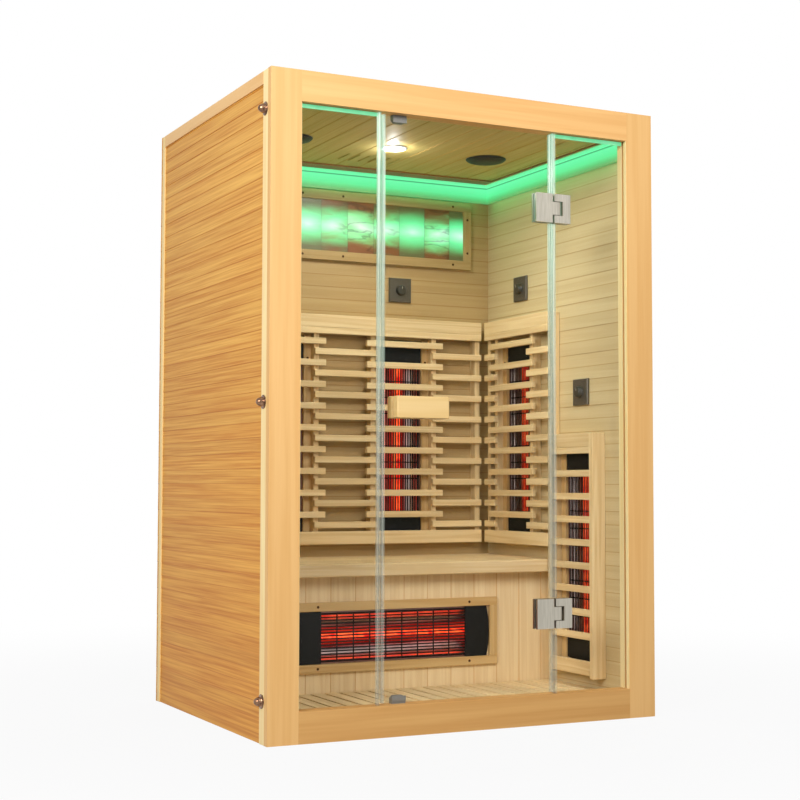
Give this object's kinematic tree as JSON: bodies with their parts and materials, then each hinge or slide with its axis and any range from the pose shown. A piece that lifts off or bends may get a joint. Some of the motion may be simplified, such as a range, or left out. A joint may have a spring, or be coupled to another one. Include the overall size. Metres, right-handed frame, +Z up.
{
  "type": "infrared sauna cabin",
  "caption": "Free-standing timber infrared sauna cabin with a glass front and hinged glass door, slatted backrests over tube heaters, a bench, a back-lit salt tile panel and a cove light.",
  "frame": {"origin": "on the ground, at the middle of the cabin's plan", "axes": "+Z up, +X to the right of someone facing the glazed front, +Y into the cabin from its front"},
  "size_m": [1.344, 1.023, 1.9],
  "materials": {
    "front_timber": "oiled satin softwood",
    "outer_timber": "oiled satin softwood with strong grain",
    "lining_timber": "planed softwood boards",
    "ceiling_timber": "planed softwood boards",
    "slat_timber": "planed softwood slats",
    "bench_timber": "planed softwood boards",
    "handle_timber": "planed pale softwood",
    "floor_board": "plain softwood and plywood",
    "clear_glass": "clear toughened glass",
    "clear_seal": "clear soft plastic",
    "hinge_steel": "brushed",
    "bright_steel": "satin",
    "catch_grey": "grey satin",
    "bronze": "dark bronze",
    "black_metal": "black satin enamel",
    "grille_wire": "dark satin enamel",
    "reflector": "bright reflector sheet",
    "glow_tube": "red glowing quartz tube",
    "salt": "translucent crystal salt",
    "lamp_strip": "opal lamp cover",
    "cove_opal": "opal strip lit green",
    "black_plastic": "black matte",
    "unit_case": "grey powder coat",
    "dark_plate": "dark brown gloss",
    "dark_knob": "dark brown gloss"
  },
  "bodies": {
    "cabin": {"floor_panel": "floor_board", "duckboard": "slat_timber", "wall_frames": "front_timber", "outer_boards_left": "outer_timber", "outer_boards_right": "outer_timber", "outer_boards_back": "outer_timber", "lining_left": "lining_timber", "lining_right": "lining_timber", "lining_back": "lining_timber", "front_post_left": "front_timber", "front_post_right": "front_timber", "front_top_rail": "front_timber", "front_sill": "front_timber", "ceiling_panel": "ceiling_timber", "roof_joists": "floor_board", "roof_cover": "floor_board", "power_unit": "unit_case", "cable_gland": "black_plastic", "fixed_pane_left": "clear_glass", "fixed_pane_right": "clear_glass", "pane_seals": "clear_seal", "hinge_fixed_clamps": "hinge_steel", "hinge_pins": "bright_steel", "magnet_catches": "catch_grey", "bench_seat": "bench_timber", "bench_apron": "bench_timber", "bench_bearers": "floor_board", "backrest_back_frame": "slat_timber", "backrest_back_slats": "slat_timber", "backrest_side_frames": "slat_timber", "backrest_side_slats": "slat_timber", "heater_guard_frames": "slat_timber", "heater_guard_slats": "slat_timber", "heater_surrounds": "slat_timber", "heater_trays": "reflector", "heater_end_caps": "black_metal", "heater_grilles": "grille_wire", "heater_tubes": "glow_tube", "salt_panel_frame": "slat_timber", "salt_tiles": "salt", "salt_lamp": "lamp_strip", "cove_lights": "cove_opal", "ceiling_speakers": "black_plastic", "ceiling_lamp": "bright_steel", "dimmer_plates": "dark_plate", "corner_bolts": "bronze"},
    "door": {"door_pane": "clear_glass", "door_seals": "clear_seal", "hinge_door_clamps": "hinge_steel", "handle_outer": "handle_timber", "handle_inner": "handle_timber", "handle_bolts": "bright_steel", "strike_plates": "bright_steel"},
    "vent_shutter": {"vent_shutter": "ceiling_timber"},
    "knob_back_left": {"knob_back_left": "dark_knob"},
    "knob_back_right": {"knob_back_right": "dark_knob"},
    "knob_left_rear": {"knob_left_rear": "dark_knob"},
    "knob_left_low": {"knob_left_low": "dark_knob"},
    "knob_right_rear": {"knob_right_rear": "dark_knob"},
    "knob_right_low": {"knob_right_low": "dark_knob"}
  },
  "joints": [
    {"name": "door_hinge", "type": "hinge", "parent": "cabin", "child": "door", "pos_m": [0.306, -0.484, 0.9525], "axis": [0, 0, 1], "range_deg": [0, 90]},
    {"name": "vent_slide", "type": "slide", "parent": "cabin", "child": "vent_shutter", "axis": [1, 0, 0], "range_m": [0, 0.019]},
    {"name": "turn_back_left", "type": "hinge", "parent": "cabin", "child": "knob_back_left", "pos_m": [-0.231, 0.4387, 1.424], "axis": [0, 1, 0], "range_deg": [-135, 135]},
    {"name": "turn_back_right", "type": "hinge", "parent": "cabin", "child": "knob_back_right", "pos_m": [0.231, 0.4387, 1.424], "axis": [0, 1, 0], "range_deg": [-135, 135]},
    {"name": "turn_left_rear", "type": "hinge", "parent": "cabin", "child": "knob_left_rear", "pos_m": [-0.5837, 0.215, 1.424], "axis": [-1, 0, 0], "range_deg": [-135, 135]},
    {"name": "turn_left_low", "type": "hinge", "parent": "cabin", "child": "knob_left_low", "pos_m": [-0.5837, -0.175, 1.032], "axis": [-1, 0, 0], "range_deg": [-135, 135]},
    {"name": "turn_right_rear", "type": "hinge", "parent": "cabin", "child": "knob_right_rear", "pos_m": [0.5837, 0.215, 1.424], "axis": [1, 0, 0], "range_deg": [-135, 135]},
    {"name": "turn_right_low", "type": "hinge", "parent": "cabin", "child": "knob_right_low", "pos_m": [0.5837, -0.175, 1.032], "axis": [1, 0, 0], "range_deg": [-135, 135]}
  ]
}
